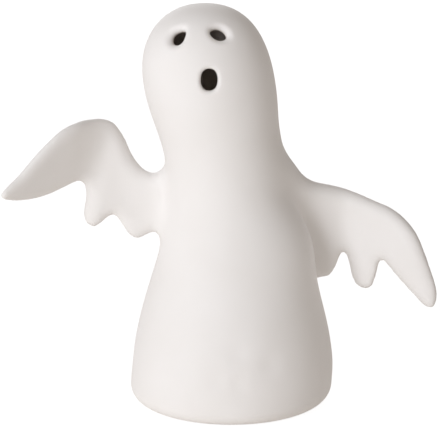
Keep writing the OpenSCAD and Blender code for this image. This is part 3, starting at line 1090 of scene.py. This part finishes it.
LOWERED_OUTLINE = (
    (0.105, 0.880), (0.198, 0.880), (0.257, 0.867), (0.294, 0.850), (0.340, 0.812), (0.404, 0.772),
    (0.496, 0.738), (0.600, 0.698), (0.704, 0.653), (0.782, 0.619), (0.848, 0.559), (0.904, 0.470),
    (0.945, 0.346), (0.974, 0.238), (0.997, 0.148), (1.002, 0.078), (0.994, 0.024), (0.972, 0.002),
    (0.937, 0.020), (0.884, 0.093), (0.814, 0.187), (0.766, 0.257), (0.742, 0.280), (0.726, 0.250),
    (0.712, 0.160), (0.694, 0.090), (0.661, 0.066), (0.626, 0.080), (0.604, 0.126), (0.588, 0.214),
    (0.572, 0.276), (0.554, 0.288), (0.537, 0.254), (0.518, 0.184), (0.491, 0.130), (0.462, 0.116),
    (0.433, 0.106), (0.395, 0.096), (0.263, 0.096), (0.132, 0.096),
)

MOUTH_AND_EYES = (
    Opening(z=126.8, turn=2.0, tilt=4.0, w=6.0, h=7.9, power=2.3, soft=1.6),
    Opening(z=141.3, turn=-33.0, tilt=28.0, w=5.9, h=5.1, power=1.75, soft=2.9, slope=58.0, narrow=0.24),
    Opening(z=142.5, turn=18.2, tilt=28.0, w=6.1, h=4.4, power=1.8, soft=2.8, slope=-24.0),
)

THUMB_DENTS = (
    Dent(x=2.2, z=28.3, r=4.0),
    Dent(x=-5.0, z=18.5),
    Dent(x=2.4, z=17.5, r=3.0),
    Dent(x=14.0, z=24.0),
)


@dataclass
class GhostFigure:
    """The ceramic figure and the felt under its foot, sizes in millimetres."""

    workshop: Workshop
    pitch: float = 1.3
    fine_pitch: float = 0.6
    fine_low: Point = (-26.0, -30.0, 116.0)
    fine_high: Point = (4.0, -8.0, 148.0)
    grid_margin: float = 4.0
    # Depth under the outer face over which the painted inside shade fades in.
    inside_shade_depth: Pair = (1.5, 3.0)
    felt_sides: int = 160
    felt_w: float = 4.5
    felt_edge: float = 0.25
    felt_edge_share: float = 0.3

    def body_form(self) -> BodyForm:
        """The turned body, with its driving sizes from the frame."""
        low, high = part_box("body_shell")
        return BodyForm(base_r=(high.y - low.y) / 2 / MM, height=high.z / MM, foot_z=low.z / MM)

    def raised_form(self) -> ArmForm:
        """The raised arm, with its reach and its hem from the frame.

        Returns:
            The arm's form.
        """
        low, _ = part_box("raised_arm")
        return ArmForm(
            side=-1, reach=-low.x / MM, low_z=low.z / MM, height=46.0, outline=RAISED_OUTLINE,
            crest_points=16, rest_y=1.5, back=-1.5, back_along=(0.2, 0.55),
            forward=25.0, forward_along=(0.42, 1.27),
            root_half_t=4.2, crest_half_t=4.5, fillet=(12.0, 9.0),
            sinks=(Sink(depth=1.2, along=(0.34, 0.6), up=(0.0, 0.5)),),
            twist=Twist(
                rate=0.6, pivot=(0.6, 0.64), turn=40.0, fold_at=(0.59, 1.0), fold_turn=10.0, fold_w=8.0,
            ),
        )

    def lowered_form(self) -> ArmForm:
        """The lowered arm, with its reach and its hem from the frame.

        Returns:
            The arm's form.
        """
        low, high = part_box("lowered_arm")
        return ArmForm(
            side=1, reach=high.x / MM, low_z=low.z / MM, height=58.0, outline=LOWERED_OUTLINE,
            crest_points=17, rest_y=3.0, back=6.0, back_along=(0.28, 0.58),
            forward=16.0, forward_along=(0.5, 1.1),
            root_half_t=4.5, crest_half_t=5.2, fillet=(1.5, 27.0), fillet_up=(0.45, 1.0),
            sinks=(
                Sink(depth=6.0, along=(0.45, 0.8), up=(0.0, 1.1)),
                Sink(depth=3.8, along=(0.36, 0.52), up=(0.4, 0.95)),
            ),
        )

    def form(self) -> SkinField:
        """The ceramic skin's field.

        Returns:
            The field, ready to read.
        """
        body = self.body_form()
        arms = (self.raised_form(), self.lowered_form())
        for arm in arms:
            arm.prepare()
        return SkinField(body, arms, MOUTH_AND_EYES, THUMB_DENTS)

    def grid(self) -> list[Array]:
        """Grid places for the field, closer together over the face.

        Returns:
            Places along X, Y and Z.
        """
        axes = []
        for k in range(3):
            low, high = CAD_BOX[0][k] / MM - self.grid_margin, CAD_BOX[1][k] / MM + self.grid_margin
            fine_low, fine_high = self.fine_low[k], self.fine_high[k]
            before = round((fine_low - low) / self.pitch)
            among = round((fine_high - fine_low) / self.fine_pitch)
            after = round((high - fine_high) / self.pitch)
            parts = (
                np.linspace(low, fine_low, before, endpoint=False),
                np.linspace(fine_low, fine_high, among, endpoint=False),
                np.linspace(fine_high, high, after),
            )
            axes.append(np.concatenate(parts))
        return axes

    def build_skin(self) -> bpy.types.Object:
        """The figure's one seamless ceramic skin.

        Returns:
            The new object.
        """
        form = self.form()
        axes = self.grid()
        x, y, z = np.meshgrid(*axes, indexing="ij")
        values = np.empty(x.shape)
        for k in range(len(axes[0])):
            values[k] = form.value(x[k], y[k], z[k])
        points, quads = surface_net(values, axes)
        points = Settling().lay(points, quads, form.value)
        skin = new_object("ghost_skin", points, quads)
        # Marks the hollow's walls, away from the outer face, for the painted inside shade.
        depth = -form.body.outer(*points.T)
        shade_attribute = skin.data.attributes.new(INSIDE_SHADE_MARK, "FLOAT", "POINT")
        shade_attribute.data.foreach_set("value", fade_in(depth, self.inside_shade_depth))
        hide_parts("body_shell", "raised_arm", "lowered_arm")
        self.workshop.dress(skin, Slot.BISQUE)
        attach(skin, Body.GHOST.value)
        return skin

    def build_felt(self) -> bpy.types.Object:
        """Felt ring with soft edges, just inside the CAD ring's size.

        Returns:
            The new object.
        """
        _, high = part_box("foot_felt_ring")
        outer, thick = high.x / MM, high.z / MM
        inner, e = outer - self.felt_w, self.felt_edge
        cut = e * self.felt_edge_share
        outline = [
            (inner + e, 0.0), (outer - e, 0.0), (outer - cut, cut), (outer, e),
            (outer, thick - e), (outer - cut, thick - cut), (outer - e, thick),
            (inner + e, thick), (inner + cut, thick - cut), (inner, thick - e),
            (inner, e), (inner + cut, cut),
        ]
        felt = lathe("felt_ring", outline, self.felt_sides)
        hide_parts("foot_felt_ring")
        self.workshop.dress(felt, Slot.FELT)
        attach(felt, Body.GHOST.value)
        return felt

    def build(self) -> None:
        """Makes the figure's pieces."""
        for make in (self.build_skin, self.build_felt):
            piece = make()
            LOG.info("%s: %d faces", piece.name, len(piece.data.polygons))


@dataclass
class Tealight:
    """The battery tealight that stands inside the figure, sizes in millimetres."""

    workshop: Workshop
    sides: int = 96
    wall: float = 1.2
    dish: float = 3.8
    curve_steps: int = 12
    side_steps: int = 4
    burr: float = 0.1
    foot_edge: float = 0.3
    hole_gap: float = 0.2
    soft_edge: float = 0.15
    under_rim: float = 1.8
    flame_r: float = 5.3
    flame_wall: float = 0.9
    flame_steps: int = 28
    flame_sides: int = 64
    belly_at: float = 0.3
    foot_in: float = 0.1
    point_power: float = 0.75
    inner_tip_at: float = 0.985
    inner_least_r: float = 0.3
    press: float = 0.05
    press_sides: int = 3
    press_turn: float = 2.5
    kept: tuple[tuple[str, Slot], ...] = (
        ("tealight_chassis", Slot.CUP),
        ("led_lamp", Slot.LAMP),
        ("led_leads", Slot.WIRE),
        ("contact_minus", Slot.CONTACT),
        ("contact_plus", Slot.CONTACT),
        ("coin_cell", Slot.CELL),
        ("battery_door", Slot.CUP),
        ("switch_slider", Slot.SWITCH),
    )

    def cup_outline(self, r: float, h: float) -> list[Pair]:
        """Section of the cup, from its foot over the rim and the dish and back underneath.

        Args:
            r: Outside radius of the cup.
            h: Height of the cup.

        Returns:
            Radius and height of each point.
        """
        t, burr, soft = self.wall, self.burr, self.soft_edge
        rim_r, rim_z = r - t, h - t
        dish_z, hole_r = h - self.dish, self.flame_r + self.hole_gap
        shoulder = self.flame_r + 2 * t
        steps = [k / self.curve_steps for k in range(self.curve_steps + 1)]
        outline = [(rim_r, burr), (rim_r + burr, 0.0)]
        outline += [(r - self.foot_edge, 0.0), (r - burr, burr), (r, self.foot_edge)]
        outline += [(r, rim_z * k / self.side_steps) for k in range(1, self.side_steps)]
        for s in steps:
            a = math.pi * s
            outline.append((r - t * (1 - math.cos(a)) / 2, rim_z + t * math.sin(a)))
        for s in steps[1:]:
            outline.append((mix(rim_r, shoulder, s), mix(rim_z, dish_z, smooth_step(s))))
        outline += [(hole_r + soft, dish_z), (hole_r, dish_z - soft), (hole_r, dish_z - t)]
        under_z = rim_z - self.under_rim
        for s in steps:
            outline.append((mix(shoulder, rim_r, s), mix(dish_z - t, under_z, smooth_step(s))))
        return outline

    def build_cup(self) -> bpy.types.Object:
        """Cup with a round rim and a dished top.

        Returns:
            The new object.
        """
        _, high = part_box("tealight_cup")
        cup = lathe("tealight_cup_skin", self.cup_outline(high.x / MM, high.z / MM), self.sides)
        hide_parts("tealight_cup")
        self.workshop.dress(cup, Slot.CUP)
        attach(cup, Body.LIGHT.value)
        return cup

    def flame_radius(self, t: float) -> float:
        """Outside radius of the flame tip.

        Args:
            t: Share of its height.

        Returns:
            The radius.
        """
        if t < self.belly_at:
            return self.flame_r * (1 - self.foot_in * smooth_step(1 - t / self.belly_at))
        up = (t - self.belly_at) / (1 - self.belly_at)
        return self.flame_r * math.cos(math.pi / 2 * up) ** self.point_power

    def flame_outline(self, dish_z: float, low: Vector, high: Vector) -> list[Pair]:
        """Section of the hollow flame tip and its flange.

        Args:
            dish_z: Height of the dish that it comes up through.
            low: Lowest corner of the CAD flame.
            high: Highest corner of the CAD flame.

        Returns:
            Radius and height of each point.
        """
        soft, gap, foot_r = self.soft_edge, self.burr, self.flame_radius(0)
        flange_r, flange_z = high.x / MM, low.z / MM
        under_z, height = dish_z - self.wall, high.z / MM - dish_z
        inner_h = height - 2 * self.flame_wall
        shares = [k / self.flame_steps for k in range(self.flame_steps + 1)]
        outline = [
            (foot_r - self.flame_wall, flange_z), (flange_r - soft, flange_z), (flange_r, flange_z + soft),
            (flange_r, under_z - soft), (flange_r - soft, under_z), (foot_r + gap, under_z),
            (foot_r, under_z + gap),
        ]
        outline += [(self.flame_radius(s), dish_z + height * s) for s in shares]
        inner = [(self.flame_radius(s) - self.flame_wall, dish_z + inner_h * s) for s in shares[:-1]]
        outline.append((0.0, dish_z + inner_h * self.inner_tip_at))
        return outline + [p for p in inner[::-1] if p[0] > self.inner_least_r]

    def build_flame(self) -> bpy.types.Object:
        """Hollow flame tip, softly twisted as a moulded flame is.

        Returns:
            The new object.
        """
        low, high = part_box("flame_lens")
        dish_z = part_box("tealight_cup")[1].z / MM - self.dish
        flame = lathe("flame_tip", self.flame_outline(dish_z, low, high), self.flame_sides)
        for vertex in flame.data.vertices:
            x, y, z = (c / MM for c in vertex.co)
            share = min(max((z - dish_z) / (high.z / MM - dish_z), 0.0), 1.0)
            turn = self.press_sides * math.atan2(y, x) + self.press_turn * share
            swell = 1 - self.press * share * (1 - share) * 4 * (1 + math.cos(turn)) / 2
            vertex.co = Vector((x * swell, y * swell, z)) * MM
        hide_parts("flame_lens")
        self.workshop.dress(flame, Slot.FLAME)
        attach(flame, Body.LIGHT.value)
        return flame

    def build(self) -> None:
        """Makes and dresses the tealight's pieces."""
        for make in (self.build_cup, self.build_flame):
            piece = make()
            LOG.info("%s: %d faces", piece.name, len(piece.data.polygons))
        for node, slot in self.kept:
            self.workshop.dress_node(node, slot)
            LOG.info("%s: %s", node, slot.value)


# Stage, light and camera


@dataclass(frozen=True)
class Lamp:
    """Square soft lamp aimed at the figure, in metres and watts."""

    name: str
    place: Point
    power: float
    size: float = 0.9


LAMPS = (
    Lamp("key", (-1.16, -1.66, 0.74), 26.0),
    Lamp("side", (-1.9, 0.5, 0.5), 2.0),
    Lamp("back", (-0.25, 2.0, 0.75), 12.0),
)


@dataclass
class Studio:
    """Pale floor, soft lamps and the photograph's viewpoint, in metres where not said."""

    image_w: int = 440
    sensor_mm: float = 36.0
    distance: float = 0.92
    elevation: float = 14.8
    target: Point = (-0.004, 0.0, 0.0702)
    mm_per_pixel: float = 0.37
    clip: Pair = (0.01, 20.0)
    floor_size: float = 6.0
    floor_gap: float = 0.0002
    floor_tone: Point = (0.90, 0.88, 0.85)
    floor_glow: float = 0.12
    seen_tone: Point = (0.30, 0.30, 0.30)
    seen_glow: float = 0.90
    ambient: float = 0.345
    ambient_tint: Point = (1.0, 0.91, 0.84)
    key_tint: Point = (0.94, 0.962, 1.01)

    def build_camera(self) -> None:
        """Camera at the photograph's viewing angle."""
        data = bpy.data.cameras.new("camera")
        pixels = self.distance / (self.mm_per_pixel * MM)
        data.sensor_width = self.sensor_mm
        data.lens = pixels * self.sensor_mm / self.image_w
        data.clip_start, data.clip_end = self.clip
        camera = bpy.data.objects.new("camera", data)
        e = math.radians(self.elevation)
        back = Vector((0.0, -math.cos(e), math.sin(e)))
        camera.location = Vector(self.target) + back * self.distance
        camera.rotation_euler = (-back).to_track_quat("-Z", "Y").to_euler()
        bpy.context.scene.collection.objects.link(camera)
        bpy.context.scene.camera = camera

    def build_floor(self) -> None:
        """Floor that the camera sees as white, with the object's shadow."""
        half = self.floor_size / 2 / MM
        drop = -self.floor_gap / MM
        corners = [(a * half, b * half, drop) for a, b in ((-1, -1), (1, -1), (1, 1), (-1, 1))]
        floor = new_object("floor", np.array(corners), [[0, 1, 2, 3]], smooth=False)
        material = bpy.data.materials.new("floor_white")
        nodes = fresh_nodes(material)
        path = nodes.add("ShaderNodeLightPath")
        table = nodes.add("ShaderNodeBsdfDiffuse", Color=(*self.floor_tone, 1))
        lit = nodes.add("ShaderNodeEmission", Color=(*self.ambient_tint, 1), Strength=self.floor_glow)
        under = nodes.add("ShaderNodeAddShader")
        seen = nodes.add("ShaderNodeBsdfDiffuse", Color=(*self.seen_tone, 1))
        glow = nodes.add("ShaderNodeEmission", Color=(1, 1, 1, 1), Strength=self.seen_glow)
        both = nodes.add("ShaderNodeAddShader")
        pick = nodes.add("ShaderNodeMixShader")
        result = nodes.add("ShaderNodeOutputMaterial")
        nodes.join(table.outputs[0], under.inputs[0])
        nodes.join(lit.outputs[0], under.inputs[1])
        nodes.join(seen.outputs[0], both.inputs[0])
        nodes.join(glow.outputs[0], both.inputs[1])
        nodes.join(path.outputs["Is Camera Ray"], pick.inputs[0])
        nodes.join(under.outputs[0], pick.inputs[1])
        nodes.join(both.outputs[0], pick.inputs[2])
        nodes.join(pick.outputs[0], result.inputs["Surface"])
        floor.data.materials.append(material)

    def build_world(self) -> None:
        """White surroundings to the eye, and a plain soft light on the object."""
        world = bpy.data.worlds.new("studio")
        bpy.context.scene.world = world
        nodes = fresh_nodes(world)
        path = nodes.add("ShaderNodeLightPath")
        soft = nodes.add("ShaderNodeBackground", Color=(*self.ambient_tint, 1), Strength=self.ambient)
        white = nodes.add("ShaderNodeBackground", Color=(1, 1, 1, 1), Strength=1.0)
        eye = nodes.add("ShaderNodeMath", operation="MAXIMUM")
        seen = nodes.add("ShaderNodeMath", operation="MAXIMUM")
        pick = nodes.add("ShaderNodeMixShader")
        result = nodes.add("ShaderNodeOutputWorld")
        nodes.join(path.outputs["Is Camera Ray"], eye.inputs[0])
        nodes.join(path.outputs["Is Transmission Ray"], eye.inputs[1])
        nodes.join(eye.outputs[0], seen.inputs[0])
        nodes.join(path.outputs["Is Glossy Ray"], seen.inputs[1])
        nodes.join(seen.outputs[0], pick.inputs[0])
        nodes.join(soft.outputs[0], pick.inputs[1])
        nodes.join(white.outputs[0], pick.inputs[2])
        nodes.join(pick.outputs[0], result.inputs["Surface"])

    def add_lamp(self, lamp: Lamp) -> None:
        """Stands a lamp in its place and aims it at the figure.

        Args:
            lamp: The lamp.
        """
        data = bpy.data.lights.new(lamp.name, "AREA")
        data.size, data.energy = lamp.size, lamp.power
        data.color = self.key_tint
        stand = bpy.data.objects.new(lamp.name, data)
        stand.location = lamp.place
        aim = Vector(self.target) - Vector(lamp.place)
        stand.rotation_euler = aim.to_track_quat("-Z", "Y").to_euler()
        bpy.context.scene.collection.objects.link(stand)

    def build(self) -> None:
        """Makes the stage, the lamps and the camera."""
        self.build_camera()
        self.build_floor()
        self.build_world()
        for lamp in LAMPS:
            self.add_lamp(lamp)
        bpy.context.scene.view_settings.view_transform = "Standard"


def main() -> None:
    """Builds the scene round the frame."""
    logging.basicConfig(level=logging.INFO, format="%(name)s: %(message)s")
    Studio().build()
    effects = Effects()
    effects.build()
    workshop = Workshop(effects)
    GhostFigure(workshop).build()
    Tealight(workshop).build()


if __name__ == "__main__":
    main()
